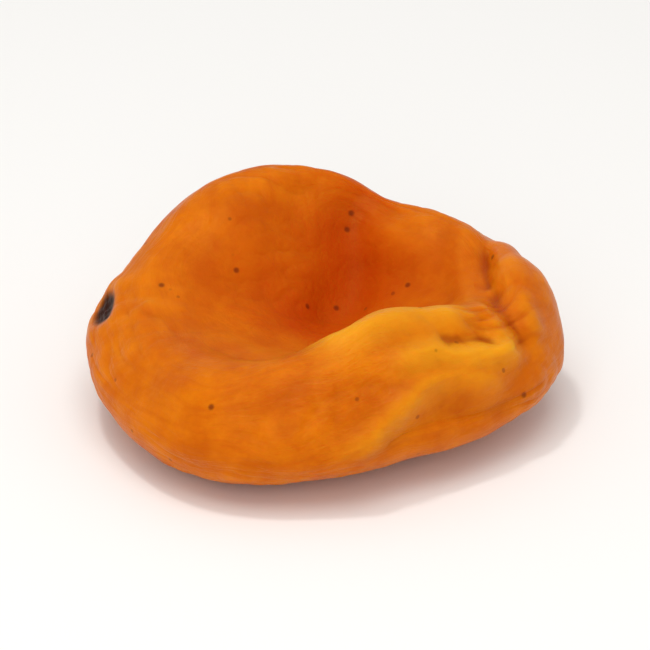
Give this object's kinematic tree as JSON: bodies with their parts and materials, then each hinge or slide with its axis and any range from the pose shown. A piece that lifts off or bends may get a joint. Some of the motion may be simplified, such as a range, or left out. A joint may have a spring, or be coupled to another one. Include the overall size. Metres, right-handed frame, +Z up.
{
  "type": "dried apricot",
  "caption": "Dried apricot with its stone pressed out: a squat orange dish with a thick rolled rim, a valley over the back rim and a flat spot to rest on.",
  "frame": {"origin": "middle of the fruit's box in X and Y, on the surface that it rests on", "axes": "+X towards the tip, away from the stem scar; +Y towards the back, away from the rolled lip; +Z up out of the dish"},
  "size_m": [0.0378, 0.0349, 0.0145],
  "materials": {
    "flesh": "dried apricot flesh and skin: leathery, slightly sticky satin surface, translucent orange, yellower on the rolled rim and redder in the dish"
  },
  "bodies": {
    "root": {"apricot": "flesh"}
  },
  "joints": []
}
